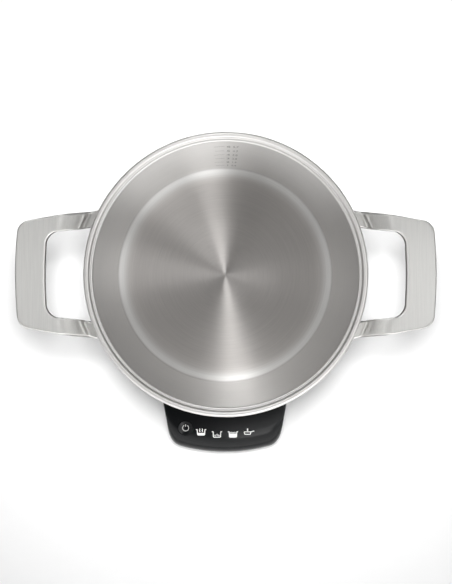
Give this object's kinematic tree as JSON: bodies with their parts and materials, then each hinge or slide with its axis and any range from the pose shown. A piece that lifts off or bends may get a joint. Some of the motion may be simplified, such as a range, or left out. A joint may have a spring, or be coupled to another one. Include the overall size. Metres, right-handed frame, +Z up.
{
  "type": "electric cooking pot",
  "caption": "Electric cooker: a two-handled stainless steel pot standing on a round heating base with a glossy black control nose, a power button and touch symbols.",
  "frame": {"origin": "middle of the footprint's box, on the surface that the feet stand on", "axes": "+X towards the right-hand handle, +Y towards the back with the control nose at the front, +Z up along the pot's axis"},
  "size_m": [0.4008, 0.3553, 0.2061],
  "materials": {
    "brushed_steel": "brushed, with fine concentric scratches",
    "handle_steel": "satin brushed, polished edges",
    "cast_aluminium": "cast and turned",
    "zinc_steel": "zinc plated, dull",
    "brass": "plated contact pins",
    "black_satin": "fine moulded grain",
    "black_gloss": "high gloss",
    "rubber": "matt",
    "silicone": "matt grey silicone",
    "circuit_board": "solder mask",
    "dark_component": "moulded epoxy",
    "light_guide": "clear acrylic, lit from below",
    "red_plastic": "insulation",
    "blue_plastic": "insulation",
    "green_plastic": "insulation",
    "grey_plastic": "insulation"
  },
  "bodies": {
    "base": {"base_housing": "black_satin", "base_trim_ring": "brushed_steel", "bottom_tray": "black_satin", "control_panel": "black_gloss", "foot_1": "rubber", "foot_2": "rubber", "foot_3": "rubber", "foot_4": "rubber", "tray_screw_1": "zinc_steel", "tray_screw_2": "zinc_steel", "tray_screw_3": "zinc_steel", "tray_screw_4": "zinc_steel", "heating_plate": "cast_aluminium", "plate_gasket": "silicone", "heating_element": "zinc_steel", "heat_shield": "zinc_steel", "sensor_housing": "dark_component", "sensor_spring": "zinc_steel", "fuse_clip": "zinc_steel", "thermal_fuse": "zinc_steel", "plate_post_1": "zinc_steel", "plate_post_2": "zinc_steel", "plate_post_3": "zinc_steel", "power_board": "circuit_board", "relay": "dark_component", "supply_transformer": "blue_plastic", "supply_capacitor": "dark_component", "triac_heat_sink": "cast_aluminium", "terminal_block": "grey_plastic", "inlet_socket": "black_satin", "inlet_live_pin": "brass", "inlet_neutral_pin": "brass", "inlet_earth_pin": "brass", "live_lead": "red_plastic", "neutral_lead": "blue_plastic", "earth_lead": "green_plastic", "sensor_lead": "grey_plastic", "panel_cable": "grey_plastic", "control_board": "circuit_board", "button_switch": "dark_component", "button_spring": "zinc_steel", "light_guide_1": "light_guide", "light_guide_2": "light_guide", "light_guide_3": "light_guide", "light_guide_4": "light_guide"},
    "pot": {"pot_shell": "brushed_steel", "base_capsule_cap": "brushed_steel", "base_capsule_core": "cast_aluminium", "right_handle": "handle_steel", "right_handle_pad_a": "handle_steel", "right_handle_pad_b": "handle_steel", "left_handle": "handle_steel", "left_handle_pad_a": "handle_steel", "left_handle_pad_b": "handle_steel"},
    "sensor": {"sensor_cap": "cast_aluminium"},
    "button": {"power_button": "black_gloss", "switch_plunger": "red_plastic"}
  },
  "joints": [
    {"name": "pot_lift", "type": "slide", "parent": "base", "child": "pot", "axis": [0, 0, 1], "range_m": [0, 0.15]},
    {"name": "sensor_rise", "type": "slide", "parent": "base", "child": "sensor", "axis": [0, 0, 1], "range_m": [0, 0.00252], "deforming": ["sensor_spring"]},
    {"name": "power_button_press", "type": "slide", "parent": "base", "child": "button", "axis": [0, 0, -1], "range_m": [0, 0.0012], "stiffness_N_per_m": 300, "springref_m": -0.003, "deforming": ["button_spring"]}
  ],
  "couplings": [
    {"joint": "sensor_rise", "follows": "pot_lift", "ratio": 0.0166}
  ]
}
